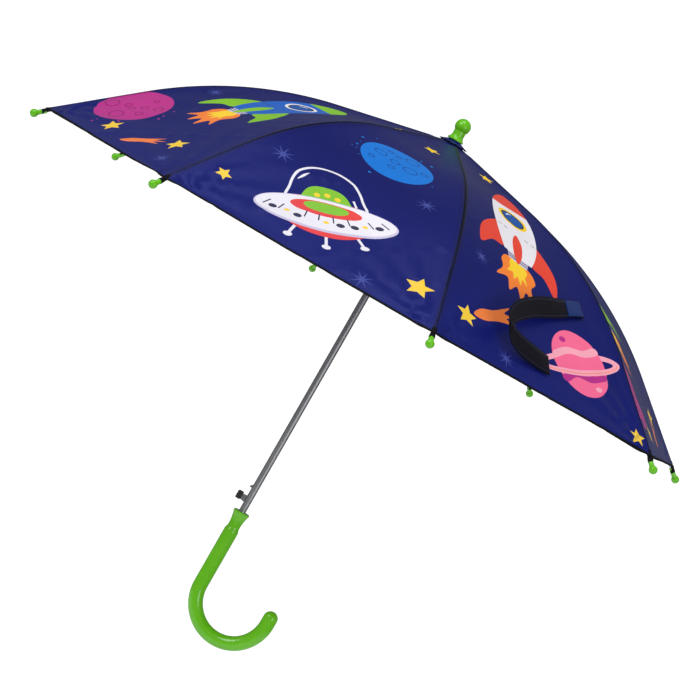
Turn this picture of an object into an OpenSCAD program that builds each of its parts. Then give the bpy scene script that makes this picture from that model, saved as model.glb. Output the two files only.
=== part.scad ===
// Child's stick umbrella with a spring-loaded canopy, a press-button release and a hook handle.
// Millimetres. +Z runs up the shaft; the origin is on the shaft's axis at the middle of the straight grip.

/* [Canopy] */
// Radius of the circle of rib tips
tip_r = 360; // [330:5:400]
// Height of the rib hinges above the plane of the rib tips
dome_h = 171.2; // [160:0.2:182]
// Downward slope of a rib beside the shaft
top_slope = 12.5; // [9:0.5:16]
// Downward slope of a rib at its tip
hem_slope = 39.5; // [36:0.5:44]
// Bending radius of the curved middle of a rib
bow_r = 390; // [300:10:460]
// Thickness of the cloth with its hem
cloth_t = 0.55; // [0.4:0.05:0.9]
// Clear gap between a rib and the cloth over it
cloth_gap = 0.7; // [0.5:0.1:1.5]
// How far the cloth dips between two ribs
cloth_dip = 5; // [0:0.5:9]

/* [Ribs and stretchers] */
// Width of a rib
rib_w = 2.4; // [2:0.1:3]
// Height of a rib
rib_h = 2.6; // [2:0.1:3.2]
// Distance along a rib from its hinge to its stretcher joint
joint_s = 172; // [150:1:190]
// Drop of the stretcher joint below a rib's underside
joint_gap = 1.9; // [1.8:0.1:2.8]
// Width of a stretcher
strut_w = 2; // [1.8:0.1:2.4]
// Height of a stretcher
strut_h = 2.2; // [1.8:0.1:2.6]
// Diameter of the rivet in a stretcher joint
rivet_d = 1.5; // [1.2:0.1:1.8]
// Thickness of the hinge tabs on ribs and stretchers
tab_t = 1.6; // [1.2:0.1:1.8]
// Diameter of the hinge wire in the notch and in the runner
wire_d = 1.2; // [1:0.1:1.4]
// Diameter of the ball on a rib tip
tip_ball_d = 8; // [7:0.5:10]
// Length of the neck behind the ball
tip_neck = 8; // [6:0.5:12]

/* [Shaft] */
// Outer diameter of the shaft
shaft_d = 7; // [6.6:0.1:8]
// Wall of the shaft
shaft_wall = 0.6; // [0.5:0.05:0.8]
// Height of the plane of the rib tips above the origin
tip_z = 273.6; // [265:1:310]
// Radius of the ring of hinge pins round the shaft
ring_r = 7; // [6.8:0.1:8]
// Outer radius of the notch and of the runner's crown
crown_r = 9.5; // [9.2:0.1:11]

/* [Runner] */
// Length of the sleeve below the catch's window
sleeve_foot = 2.4; // [2:0.2:5]
// Wall of the sleeve
sleeve_wall = 1.9; // [1.6:0.1:2.6]
// Lean of the line from a rib's hinge to its tip, off the shaft, when shut
shut_lean = 4.1; // [3:0.1:9]

/* [Release] */
// Height of the lever's pivot above the top of the handle
lever_up = 4; // [3.5:0.5:6]
// Height of the catch's flat underside above the lever's pivot
catch_up = 20.6; // [20:0.2:21]
// How far the catch stands out of the shaft
catch_out = 2.7; // [2:0.1:2.8]
// Thickness of the lever
lever_t = 1.6; // [1.2:0.1:1.8]
// Height of the button
button_h = 9; // [7:0.5:10]
// Width of the button
button_w = 6.4; // [5:0.2:8]

/* [Handle] */
// Diameter of the grip and of the hook
grip_d = 14.4; // [13:0.2:18]
// Height of the handle's top above the origin
grip_top = 40; // [38:1:44]
// Depth of the straight grip below the origin
grip_low = 40; // [34:1:60]
// Radius of the hook, to its middle line
hook_r = 38; // [32:1:46]
// How far the hook's end rises past the bend
hook_rise = 6; // [2:1:20]
// Diameter of the collar on top of the handle
collar_d = 16.6; // [15:0.2:19]

/* [Ferrule] */
// Height of the ferrule
ferrule_h = 22.8; // [20:0.2:30]
// Diameter of the ferrule's ball
ferrule_ball = 15.6; // [13:0.2:17]
// Diameter of the ferrule's neck
ferrule_neck = 11.9; // [10:0.1:13]
// Diameter of the ferrule's foot
ferrule_foot = 16.6; // [15:0.2:19]
// Radius of the gathered cloth under the ferrule
rosette_r = 15; // [12:0.5:18]

/* [Strap] */
// Width of the tie strap
strap_w = 19; // [14:1:22]
// Thickness of the tie strap
strap_t = 1.2; // [0.8:0.1:1.6]

/* [Fits] */
// Radial clearance of a turning or sliding fit
run_fit = 0.08; // [0.05:0.01:0.1]
// Radial clearance of a fixed fit
set_fit = 0.03; // [0.02:0.01:0.05]
// Side clearance of a tab in its slot
side_fit = 0.2; // [0.15:0.05:0.3]

/* [Hidden] */
$fn = 48;
n_ribs = 8;
step = 360 / n_ribs;
// the middle line of a rib: a straight, an arc and a straight, as [radius, height above the tip plane]
hinge = [ring_r, dome_h];
t1 = tan(top_slope);
t2 = tan(hem_slope);
meet_r = (tip_r * t2 - dome_h - ring_r * t1) / (t2 - t1);
meet = [meet_r, (tip_r - meet_r) * t2];
side = bow_r * tan((hem_slope - top_slope) / 2);
dir1 = [cos(top_slope), -sin(top_slope)];
dir2 = [cos(hem_slope), -sin(hem_slope)];
bow_start = meet - side * dir1;
bow_c = bow_start - bow_r * [sin(top_slope), cos(top_slope)];
d1 = norm(bow_start - hinge);
d2 = d1 + bow_r * (hem_slope - top_slope) * PI / 180;
rib_len = d2 + norm([tip_r, 0] - meet) - side;
function slope_at(s) = min(max(top_slope + (s - d1) / bow_r * 180 / PI, top_slope), hem_slope);
function up_at(s) = [sin(slope_at(s)), cos(slope_at(s))];
function on_rib(s, off = 0) = s < d1 ? hinge + s * dir1 + off * up_at(s)
    : s < d2 ? bow_c + (bow_r + off) * up_at(s)
    : bow_c + (bow_r + off) * up_at(s) + (s - d2) * dir2;
// the stretcher joint, and the runner's hinge wire at an equal distance from it
joint_drop = rib_h / 2 + joint_gap;
joint = on_rib(joint_s, -joint_drop);
fold = atan2(tip_r - ring_r, dome_h) - shut_lean;
arm = norm(joint - hinge);
open_a = atan2(joint[0] - ring_r, dome_h - joint[1]);
runner_h = dome_h - 2 * arm * cos(open_a);
runner_shut = dome_h - 2 * arm * cos(open_a - fold);
// hubs
eye_r = 1.5;
tab_len = 5.5;
notch_low = 4;
notch_up = 0.95;
crown_low = 2.2;
crown_up = 3.5;
shaft_r = shaft_d / 2;
bore_r = shaft_r + run_fit;
sleeve_r = bore_r + sleeve_wall;
// cloth
cloth_in = rib_h / 2 + cloth_gap;
cloth_out = cloth_in + cloth_t;
cloth_s0 = -1.2;
cloth_s1 = rib_len - tip_ball_d / 2 - tip_neck - 0.4;
function dip_at(s) = cloth_dip * sin(180 * min(max(s / cloth_s1, 0), 1));
function spin(p, a) = [p[0] * cos(a), p[0] * sin(a), p[1]];
// a point of the cloth between two ribs: w is 0 on one and 1 on the next
function on_cloth(s, w, off, a = 0) =
    let (d = dip_at(s) * (1 - pow(1 - 2 * w, 2)), p = on_rib(s, off - d))
    spin(p, a) * (1 - w) + spin(p, a + step) * w;
// release
lever_z = grip_top + lever_up;
catch_z = lever_z + catch_up;
strip_x = -2.5;
strip_w = 1.5;
inner_r = shaft_r - shaft_wall;
window_z = catch_z - (tip_z + runner_shut);
sleeve_l = sleeve_foot + 0.8 - window_z;
ferrule_z = tip_z + dome_h + cloth_out + 3.4;
// drive of the runner
drive_r = 0.6;
drive_low = 8;
spring_wire = 0.45;
seat_z = catch_z + 9;
seat_h = 3;
// strap: [distance up from the hem, share of the way to the next rib, lift off the cloth, turn from 0, flat along the rib, to 1, along strap_hang]
strap_gore = 6;
strap_path = [[132.6, 0.81, 0.4, 0], [124.6, 0.72, 1.2, 0], [112.6, 0.62, 4, 0.4], [98.6, 0.51, 8, 0.9], [82.6, 0.405, 12, 1],
    [60.6, 0.305, 16, 1], [39.6, 0.27, 16, 1], [32.6, 0.33, 10, 1], [33.6, 0.425, 5, 0.8], [36.6, 0.52, 1, 0.2]];
strap_hang = [0.49, 0.08, -0.87];

module at(k) rotate([0, 0, step / 2 + step * k]) children();
module upright(t) rotate([90, 0, 0]) linear_extrude(height = t, center = true) children();

// sweep of closed rings of points into one solid; a ring's second half runs back beside its first half
module skin(rings) {
    n = len(rings[0]);
    m = len(rings);
    function quad(a, b, c, d) = [[a, b, c], [a, c, d]];
    polyhedron(points = [for (r = rings) each r], faces = concat(
        [for (j = [0:n / 2 - 2]) each quad(j, j + 1, n - 2 - j, n - 1 - j)],
        [for (i = [0:m - 2], j = [0:n - 1]) each quad(i * n + j, (i + 1) * n + j, (i + 1) * n + (j + 1) % n, i * n + (j + 1) % n)],
        [for (j = [0:n / 2 - 2], o = (m - 1) * n) each quad(o + n - 1 - j, o + n - 2 - j, o + j + 1, o + j)]));
}

module bar(p, q, h) {
    d = (q - p) / norm(q - p);
    n = [-d[1], d[0]] * h / 2;
    polygon([p + n, q + n, q - n, p - n]);
}

module shaft_tube() color("slategray") difference() {
    translate([0, 0, -20]) cylinder(h = ferrule_z + 12 + 20, r = shaft_r);
    translate([0, 0, -21]) cylinder(h = ferrule_z + 12 + 22, r = inner_r);
    translate([-shaft_d, -(lever_t + 2 * side_fit) / 2, lever_z + 2.4]) cube([shaft_d, lever_t + 2 * side_fit, catch_up + 5.4]);
    translate([0, 0, lever_z]) rotate([90, 0, 0]) cylinder(h = 20, r = 0.6 + set_fit, center = true);
    translate([0, 0, tip_z + dome_h - 2.5]) rotate([0, 90, 0]) cylinder(h = 20, r = 0.6 + set_fit, center = true);
    translate([0, 0, tip_z + runner_h + crown_up + 1.1]) rotate([90, 0, 0]) cylinder(h = 20, r = 0.7 + set_fit, center = true);
    // slot for the drive pin
    translate([0, -drive_r - 0.2, tip_z + runner_shut - drive_low - 1.5]) cube([shaft_d, 2 * drive_r + 0.4, runner_h - runner_shut + 3]);
}

module handle() color("yellowgreen") difference() {
    union() {
        rotate_extrude() polygon(concat([[0, -1], [grip_d / 2, -1], [grip_d / 2, grip_top - 22]],
            [for (i = [0:10]) let (t = i / 10) [grip_d / 2 + (12 / 2 - grip_d / 2) * (1 - cos(180 * t)) / 2, grip_top - 22 + 6 * t]],
            [for (i = [1:12]) let (t = i / 12) [6 + (collar_d / 2 - 6) * pow(t, 2), grip_top - 16 + 14.6 * t]],
            [[collar_d / 2, grip_top - 0.5], [collar_d / 2 - 0.6, grip_top], [0, grip_top]]));
        translate([0, 0, -grip_low]) cylinder(h = grip_low, r = grip_d / 2);
        translate([hook_r, 0, -grip_low]) rotate([-90, 0, 0]) rotate_extrude(angle = 180) translate([hook_r, 0]) circle(d = grip_d);
        translate([2 * hook_r, 0, -grip_low]) cylinder(h = hook_rise, r = grip_d / 2);
        translate([2 * hook_r, 0, -grip_low + hook_rise]) sphere(r = grip_d / 2);
    }
    translate([0, 0, -20 - set_fit]) cylinder(h = grip_top + 30, r = shaft_r + set_fit);
}

module ferrule() color("yellowgreen") {
    ball_z = ferrule_z + ferrule_h - ferrule_ball / 2;
    difference() {
        union() {
            rotate_extrude() polygon(concat([[0, ferrule_z], [ferrule_foot / 2, ferrule_z], [ferrule_foot / 2, ferrule_z + 1]],
                [for (i = [1:8]) let (t = i / 8) [ferrule_neck / 2 + (ferrule_foot - ferrule_neck) / 2 * pow(1 - t, 2), ferrule_z + 1 + 4.5 * t]],
                [[ferrule_neck / 2, ball_z], [0, ball_z]]));
            translate([0, 0, ball_z]) sphere(d = ferrule_ball);
        }
        translate([0, 0, ferrule_z - 1]) cylinder(h = 13 + set_fit, r = shaft_r + set_fit);
    }
}

// gathered cloth pressed between the ferrule and the canopy
module rosette() color("midnightblue") {
    low = tip_z + dome_h + (cloth_out + 0.2) / cos(top_slope) + ring_r * t1;
    intersection() {
        rotate_extrude() polygon([[shaft_r + 0.1, low - (shaft_r + 0.1) * t1], [rosette_r + 1.5, low - (rosette_r + 1.5) * t1],
            [rosette_r + 1.5, low - (rosette_r + 1.5) * t1 + 1], [ferrule_foot / 2 + 1, ferrule_z - 0.1], [shaft_r + 0.1, ferrule_z - 0.1]]);
        translate([0, 0, tip_z]) linear_extrude(height = 2 * dome_h)
            polygon([for (a = [0:4:356]) (rosette_r + 0.9 * sin(a * 12) + 0.4 * sin(a * 5)) * [cos(a), sin(a)]]);
    }
}

// slotted crown for eight hinge tabs, from z = -low to z = up about the hinge wire
module crown(low, up, hole) difference() {
    translate([0, 0, -low]) cylinder(h = low + up, r = crown_r);
    translate([0, 0, -low - 1]) cylinder(h = low + up + 2, r = hole);
    for (k = [0:n_ribs - 1]) at(k) translate([ring_r - eye_r - 0.3, -(tab_t + 2 * side_fit) / 2, -low - 1])
        cube([20, tab_t + 2 * side_fit, low + up + 2]);
    rotate_extrude() translate([ring_r, 0]) circle(r = wire_d / 2 + set_fit);
}

module notch() color("silver") difference() {
    translate([0, 0, tip_z + dome_h]) crown(notch_low, notch_up, shaft_r + set_fit);
    translate([0, 0, tip_z + dome_h - 2.5]) rotate([0, 90, 0]) cylinder(h = 40, r = 0.6 + set_fit, center = true);
}

module hinge_wire(z) color("gray") translate([0, 0, tip_z + z]) rotate_extrude() translate([ring_r, 0]) circle(d = wire_d);
module notch_wire() hinge_wire(dome_h);
module runner_wire() hinge_wire(runner_h);
module notch_pin() color("gray") translate([0, 0, tip_z + dome_h - 2.5]) rotate([0, 90, 0]) cylinder(h = 2 * crown_r - 1.2, r = 0.6, center = true);
module stop_pin() color("gray") translate([0, 0, tip_z + runner_h + crown_up + 1.1]) rotate([90, 0, 0]) cylinder(h = shaft_d + 1.2, r = 0.7, center = true);

module runner() color("black") translate([0, 0, tip_z + runner_h]) difference() {
    union() {
        crown(crown_low, crown_up, bore_r);
        translate([0, 0, -sleeve_l]) cylinder(h = sleeve_l - crown_low + 0.1, r = sleeve_r);
        translate([0, 0, -sleeve_l]) cylinder(h = sleeve_foot, r = sleeve_r + 1);
        translate([0, 0, -crown_low - 3]) cylinder(h = 3.1, r1 = sleeve_r, r2 = crown_r);
    }
    translate([0, 0, -sleeve_l - 1]) cylinder(h = sleeve_l + 20, r = bore_r);
    for (k = [0:n_ribs - 1]) at(k) translate([ring_r - eye_r - 0.3, -(tab_t + 2 * side_fit) / 2, -crown_low])
        cube([20, tab_t + 2 * side_fit, 20]);
    translate([0, 0, -drive_low]) rotate([0, 90, 0]) cylinder(h = 2 * crown_r, r = drive_r + set_fit);
    // window for the catch
    translate([-20, -(lever_t + 1) / 2, window_z - 0.8]) cube([20, lever_t + 1, 7]);
}

// stub that drives the runner through the slot in the shaft
module drive_pin() color("gray") translate([-inner_r + 0.5, 0, tip_z + runner_h - drive_low]) rotate([0, 90, 0]) cylinder(h = inner_r - 0.5 + sleeve_r - 0.4, r = drive_r);

// long compression spring inside the shaft that pushes the runner up
module opening_spring() color("lightgray") {
    z0 = seat_z + seat_h + spring_wire / 2 + 0.1;
    z1 = tip_z + runner_h - drive_low - drive_r - spring_wire / 2 - 0.1;
    coil_r = inner_r - 0.35 - spring_wire / 2;
    turns = 40;
    skin([for (i = [0:turns * 10]) let (a = i * 36, z = z0 + (z1 - z0) * i / (turns * 10))
        [for (j = [0:3]) let (b = 45 - j * 90) [(coil_r + spring_wire / 2 * cos(b)) * cos(a), (coil_r + spring_wire / 2 * cos(b)) * sin(a), z + spring_wire / 2 * sin(b)]]]);
}

module spring_seat() color("silver") translate([0, 0, seat_z]) cylinder(h = seat_h, r = inner_r - set_fit);

module release_lever() color("silver") difference() {
    upright(lever_t) {
        translate([0, lever_z]) circle(r = 1.9);
        polygon([[-1.6, lever_z + 0.6], [1.2, lever_z + 1.2], [strip_x + strip_w, lever_z + 4], [strip_x + strip_w, catch_z + 4.6],
            [strip_x, catch_z + 4.6], [-shaft_r - catch_out, catch_z + 0.5], [-shaft_r - catch_out, catch_z], [strip_x, catch_z],
            [strip_x, lever_z + 3 + button_h], [-11, lever_z + 2.6 + button_h], [-11, lever_z + 6.4], [strip_x, lever_z + 4.8], [strip_x, lever_z + 3]]);
    }
    translate([0, 0, lever_z]) rotate([90, 0, 0]) cylinder(h = 20, r = 0.6 + run_fit, center = true);
}

module button_cap() color("black") difference() {
    translate([-10.8, 0, lever_z + 4.6 + button_h / 2]) rotate([90, 0, 0]) hull() for (x = [-1.3, 1.6], z = [-1, 1] * (button_h / 2 - 1.4), y = [-1, 1] * (button_w / 2 - 1))
        translate([x, z, y]) sphere(r = 1, $fn = 20);
    translate([-11 - set_fit, -lever_t / 2 - set_fit, lever_z]) cube([20, lever_t + 2 * set_fit, 30]);
}

module lever_pin() color("gray") translate([0, 0, lever_z]) rotate([90, 0, 0]) cylinder(h = shaft_d - 0.1, r = 0.6, center = true);

// small compression spring behind the lever
module catch_spring() color("lightgray") {
    x0 = strip_x + strip_w + 0.25;
    x1 = inner_r - 0.55;
    skin([for (i = [0:60]) let (a = i * 30, x = x0 + (x1 - x0) * i / 60)
        [for (j = [0:5]) let (b = j * 60) [x + 0.13 * sin(b), (0.8 + 0.13 * cos(b)) * cos(a), lever_z + 15 + (0.8 + 0.13 * cos(b)) * sin(a)]]]);
}

module rib(k) color("lightgray") translate([0, 0, tip_z]) at(k) difference() {
    union() {
        upright(tab_t) {
            translate(hinge) circle(r = eye_r);
            bar(hinge, on_rib(tab_len + 2), 2);
            translate(joint) circle(r = eye_r + 0.1);
            bar(joint, on_rib(joint_s), 2 * eye_r);
        }
        upright(rib_w) polygon(concat(
            [for (i = [0:40]) on_rib(tab_len + (rib_len - tip_ball_d / 2 - 1 - tab_len) * i / 40, rib_h / 2)],
            [for (i = [40:-1:0]) on_rib(tab_len + (rib_len - tip_ball_d / 2 - 1 - tab_len) * i / 40, -rib_h / 2)]));
    }
    translate([ring_r, 0, dome_h]) rotate([90, 0, 0]) cylinder(h = 20, r = wire_d / 2 + 0.1, center = true);
    translate([joint[0], 0, joint[1]]) rotate([90, 0, 0]) cylinder(h = 20, r = rivet_d / 2 + 0.06, center = true);
}

module stretcher(k) color("lightgray") translate([0, 0, tip_z]) at(k) {
    base = [ring_r, runner_h];
    d = (joint - base) / arm;
    difference() {
        union() {
            upright(tab_t) { translate(base) circle(r = eye_r); bar(base, base + (tab_len + 2) * d, 2); }
            upright(strut_w) bar(base + tab_len * d, joint - 5 * d, strut_h);
            upright(tab_t + 2) bar(joint - 7 * d, joint - 2.6 * d, strut_h);
            for (y = [-1, 1] * (tab_t / 2 + 0.55)) translate([0, y, 0]) upright(0.9) { translate(joint) circle(r = 1.6); bar(joint - 4 * d, joint, strut_h); }
        }
        translate([ring_r, 0, runner_h]) rotate([90, 0, 0]) cylinder(h = 20, r = wire_d / 2 + 0.1, center = true);
    }
    translate([joint[0], 0, joint[1]]) rotate([90, 0, 0]) cylinder(h = tab_t + 2.6, r = rivet_d / 2, center = true);
}

module tip(k) color("yellowgreen") translate([0, 0, tip_z]) at(k) translate([tip_r, 0, 0]) rotate([0, 90 + hem_slope, 0]) difference() {
    union() {
        sphere(d = tip_ball_d);
        translate([0, 0, -tip_ball_d / 2 - tip_neck]) cylinder(h = tip_neck + tip_ball_d / 2, r1 = norm([rib_w, rib_h]) / 2 + 0.45, r2 = norm([rib_w, rib_h]) / 2 + 0.8);
    }
    translate([-rib_h / 2 - set_fit, -rib_w / 2 - set_fit, -tip_ball_d / 2 - tip_neck - 1]) cube([rib_h + 2 * set_fit, rib_w + 2 * set_fit, tip_neck + 0.1 + set_fit]);
}

// one rib's share of the cloth, half of a panel on each side
function share_of_cloth(s, v, off) = v < 0 ? on_cloth(s, 1 + v, off, -step) : on_cloth(s, v, off, 0);
module canopy(k) color("midnightblue") translate([0, 0, tip_z]) at(k) {
    ns = 16;
    nv = 10;
    s = [for (i = [0:ns]) cloth_s0 + (cloth_s1 - cloth_s0) * i / ns];
    v = [for (j = [0:nv]) (j / nv - 0.5) * 0.998];
    skin([for (i = [0:ns]) concat([for (j = [0:nv]) share_of_cloth(s[i], v[j], cloth_in)], [for (j = [nv:-1:0]) share_of_cloth(s[i], v[j], cloth_out)])]);
}

function curve(p, t) = let (i = min(floor(t), len(p) - 2), f = t - i, a = p[max(i - 1, 0)], b = p[i], c = p[i + 1], e = p[min(i + 2, len(p) - 1)])
    0.5 * (2 * b + (c - a) * f + (2 * a - 5 * b + 4 * c - e) * f * f + (3 * b - a - 3 * c + e) * f * f * f);
function unit(v) = v / norm(v);

strap_n = 36;
strap_az = step / 2 + step * strap_gore;
strap_lift = cloth_out + strap_t / 2 + 0.7;
function strap_at(i) = curve(strap_path, min(max(i, 0), strap_n) / strap_n * (len(strap_path) - 1));
function strap_foot(c, h = 0) = on_cloth(cloth_s1 - c[0], c[1], strap_lift + h, strap_az);
function strap_up(c) = unit(strap_foot(c, 5) - strap_foot(c));
function strap_mid(i) = let (c = strap_at(i)) strap_foot(c) + strap_up(c) * c[2];
function strap_side(c) = unit(unit(strap_foot([c[0] - 1, c[1]]) - strap_foot(c)) * (1 - c[3]) + strap_hang * c[3]);
module tie_strap() color("black") translate([0, 0, tip_z])
    skin([for (i = [0:strap_n]) let (c = strap_at(i), m = strap_mid(i), a = strap_side(c) * strap_w / 2,
        b = unit(cross(strap_mid(i + 1) - strap_mid(i - 1), a)) * strap_t / 2)
        [m + a + b, m - a + b, m - a - b, m + a - b]]);

shaft_tube();
handle();
ferrule();
rosette();
notch();
notch_wire();
notch_pin();
stop_pin();
runner();
runner_wire();
drive_pin();
opening_spring();
spring_seat();
release_lever();
button_cap();
lever_pin();
catch_spring();
tie_strap();
rib(0);  // rib_1
rib(1);  // rib_2
rib(2);  // rib_3
rib(3);  // rib_4
rib(4);  // rib_5
rib(5);  // rib_6
rib(6);  // rib_7
rib(7);  // rib_8
tip(0);  // tip_1
tip(1);  // tip_2
tip(2);  // tip_3
tip(3);  // tip_4
tip(4);  // tip_5
tip(5);  // tip_6
tip(6);  // tip_7
tip(7);  // tip_8
stretcher(0);  // stretcher_1
stretcher(1);  // stretcher_2
stretcher(2);  // stretcher_3
stretcher(3);  // stretcher_4
stretcher(4);  // stretcher_5
stretcher(5);  // stretcher_6
stretcher(6);  // stretcher_7
stretcher(7);  // stretcher_8
canopy(0);  // canopy_1
canopy(1);  // canopy_2
canopy(2);  // canopy_3
canopy(3);  // canopy_4
canopy(4);  // canopy_5
canopy(5);  // canopy_6
canopy(6);  // canopy_7
canopy(7);  // canopy_8
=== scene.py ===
import bpy, bmesh, math, random
import numpy as np
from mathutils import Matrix, Quaternion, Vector, geometry, noise


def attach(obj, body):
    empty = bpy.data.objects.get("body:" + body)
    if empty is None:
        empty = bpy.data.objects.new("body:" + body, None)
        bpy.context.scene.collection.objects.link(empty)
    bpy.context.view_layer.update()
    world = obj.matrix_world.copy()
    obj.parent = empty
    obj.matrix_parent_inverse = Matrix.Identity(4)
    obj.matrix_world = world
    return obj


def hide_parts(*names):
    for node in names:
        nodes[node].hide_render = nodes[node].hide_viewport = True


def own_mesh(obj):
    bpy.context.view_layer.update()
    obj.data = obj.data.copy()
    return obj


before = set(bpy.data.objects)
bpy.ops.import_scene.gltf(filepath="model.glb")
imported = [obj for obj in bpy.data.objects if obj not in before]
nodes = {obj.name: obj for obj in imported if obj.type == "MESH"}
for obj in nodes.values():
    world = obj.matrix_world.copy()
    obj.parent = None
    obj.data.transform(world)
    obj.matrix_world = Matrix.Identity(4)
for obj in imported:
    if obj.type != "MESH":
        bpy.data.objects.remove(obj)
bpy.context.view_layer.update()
mm = 0.001
print("frame loaded")

# camera: level with the hem and turned about its own axis, so that the shaft leans
camera = dict(azimuth=12.0, elevation=0.52, roll=29.85, distance=2.571, aim=(0, 0, 0.2736),
              lens=137.8, sensor=36.0, clip=(0.05, 60.0), aimInView=(0.004853, 0.01829, -1.0))


def makeCamera(c):
    data = bpy.data.cameras.new("camera")
    data.lens, data.sensor_width = c["lens"], c["sensor"]
    data.clip_start, data.clip_end = c["clip"]
    cam = bpy.data.objects.new("camera", data)
    bpy.context.scene.collection.objects.link(cam)
    a, e = math.radians(c["azimuth"]), math.radians(c["elevation"])
    back = Vector((math.sin(a) * math.cos(e), -math.cos(a) * math.cos(e), math.sin(e)))
    turn = (-back).to_track_quat("-Z", "Y") @ Quaternion((0, 0, 1), math.radians(c["roll"]))
    aside = Vector(c["aimInView"]).normalized().rotation_difference(Vector((0, 0, -1)))
    cam.rotation_mode = "QUATERNION"
    cam.rotation_quaternion = turn @ aside
    cam.location = Vector(c["aim"]) + back * c["distance"]
    bpy.context.scene.camera = cam
    bpy.context.scene.view_settings.view_transform = "Standard"


makeCamera(camera)

# shader helpers


def newGroup(name, inputs, outputs):
    g = bpy.data.node_groups.new(name, "ShaderNodeTree")
    for label, kind, value in inputs:
        s = g.interface.new_socket(label, in_out="INPUT", socket_type=kind)
        if value is not None:
            s.default_value = value
    for label, kind in outputs:
        g.interface.new_socket(label, in_out="OUTPUT", socket_type=kind)
    return g, g.nodes.new("NodeGroupInput"), g.nodes.new("NodeGroupOutput")


def calc(tree, operation, a, b=None, c=None):
    n = tree.nodes.new("ShaderNodeMath")
    n.operation = operation
    for i, v in enumerate((a, b, c)):
        if v is None:
            continue
        if isinstance(v, (int, float)):
            n.inputs[i].default_value = v
        else:
            tree.links.new(v, n.inputs[i])
    return n.outputs[0]


def noiseOf(tree, vector, scale, detail=2.0, rough=0.5):
    n = tree.nodes.new("ShaderNodeTexNoise")
    n.inputs["Detail"].default_value = detail
    n.inputs["Roughness"].default_value = rough
    if isinstance(scale, (int, float)):
        n.inputs["Scale"].default_value = scale
    else:
        tree.links.new(scale, n.inputs["Scale"])
    tree.links.new(vector, n.inputs["Vector"])
    return n.outputs[0]


def makeWeave():  # two crossed sets of threads, in metres of cloth
    g, i, o = newGroup("weave",
                       [("Vector", "NodeSocketVector", None), ("Thread", "NodeSocketFloat", 0.0004)],
                       [("Height", "NodeSocketFloat"), ("Shade", "NodeSocketFloat")])
    split = g.nodes.new("ShaderNodeSeparateXYZ")
    g.links.new(i.outputs["Vector"], split.inputs[0])
    turns = calc(g, "DIVIDE", 3.14159, i.outputs["Thread"])
    warp, weft = (calc(g, "ABSOLUTE", calc(g, "SINE", calc(g, "MULTIPLY", split.outputs[axis], turns)))
                  for axis in (0, 1))
    g.links.new(calc(g, "MAXIMUM", warp, weft), o.inputs["Height"])
    slow = noiseOf(g, i.outputs["Vector"], 9.0, 3.0)
    fine = noiseOf(g, i.outputs["Vector"], 260.0, 2.0)
    shade = calc(g, "ADD", calc(g, "MULTIPLY", slow, 0.75), calc(g, "MULTIPLY", fine, 0.25))
    g.links.new(shade, o.inputs["Shade"])
    return g


def makeStitch():  # dashes along one direction of the cloth, at a set distance across it
    threadHalf, dashShare = 0.0003, 0.7
    g, i, o = newGroup("stitchRow",
                       [("Across", "NodeSocketFloat", 0), ("Along", "NodeSocketFloat", 0),
                        ("Offset", "NodeSocketFloat", 0.003), ("Length", "NodeSocketFloat", 0.003)],
                       [("Mask", "NodeSocketFloat")])
    near = calc(g, "SUBTRACT", calc(g, "ABSOLUTE", i.outputs["Across"]), i.outputs["Offset"])
    line = calc(g, "LESS_THAN", calc(g, "ABSOLUTE", near), threadHalf)
    dash = calc(g, "FRACT", calc(g, "DIVIDE", i.outputs["Along"], i.outputs["Length"]))
    step = calc(g, "LESS_THAN", dash, dashShare)
    g.links.new(calc(g, "MULTIPLY", line, step), o.inputs["Mask"])
    return g


def makeScuff():  # fine handling marks and a slow change of gloss
    g, i, o = newGroup("scuff",
                       [("Vector", "NodeSocketVector", None), ("Scale", "NodeSocketFloat", 40.0),
                        ("Amount", "NodeSocketFloat", 0.2)],
                       [("Mask", "NodeSocketFloat"), ("Height", "NodeSocketFloat")])
    wide = noiseOf(g, i.outputs["Vector"], i.outputs["Scale"], 4.0, 0.6)
    thin = noiseOf(g, i.outputs["Vector"], calc(g, "MULTIPLY", i.outputs["Scale"], 14.0), 2.0)
    marks = calc(g, "ADD", calc(g, "MULTIPLY", wide, 0.7), calc(g, "MULTIPLY", thin, 0.3))
    g.links.new(calc(g, "MULTIPLY", marks, i.outputs["Amount"]), o.inputs["Mask"])
    g.links.new(thin, o.inputs["Height"])
    return g


def makeBrushed():  # drawing marks along the object's height
    g, i, o = newGroup("drawnMarks",
                       [("Vector", "NodeSocketVector", None), ("Stretch", "NodeSocketFloat", 40.0)],
                       [("Mask", "NodeSocketFloat")])
    split, join = g.nodes.new("ShaderNodeSeparateXYZ"), g.nodes.new("ShaderNodeCombineXYZ")
    g.links.new(i.outputs["Vector"], split.inputs[0])
    for axis in (0, 1):
        g.links.new(calc(g, "MULTIPLY", split.outputs[axis], i.outputs["Stretch"]), join.inputs[axis])
    g.links.new(split.outputs[2], join.inputs[2])
    g.links.new(noiseOf(g, join.outputs[0], 30.0, 4.0, 0.6), o.inputs["Mask"])
    return g


weave, stitchRow, scuff, drawnMarks = makeWeave(), makeStitch(), makeScuff(), makeBrushed()


socketLabels = dict(roughness="Roughness", metallic="Metallic", ior="IOR", specular="Specular IOR Level",
                    specularTint="Specular Tint", sheen="Sheen Weight", sheenRoughness="Sheen Roughness",
                    sheenTint="Sheen Tint", coat="Coat Weight", coatRoughness="Coat Roughness",
                    subsurface="Subsurface Weight", subsurfaceScale="Subsurface Scale", baseColour="Base Color")


def newMaterial(name, **fixed):
    m = bpy.data.materials.new(name)
    m.use_nodes = True
    tree = m.node_tree
    shader = tree.nodes["Principled BSDF"]
    for setting, value in fixed.items():
        shader.inputs[socketLabels[setting]].default_value = value
    return m, tree, shader


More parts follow.
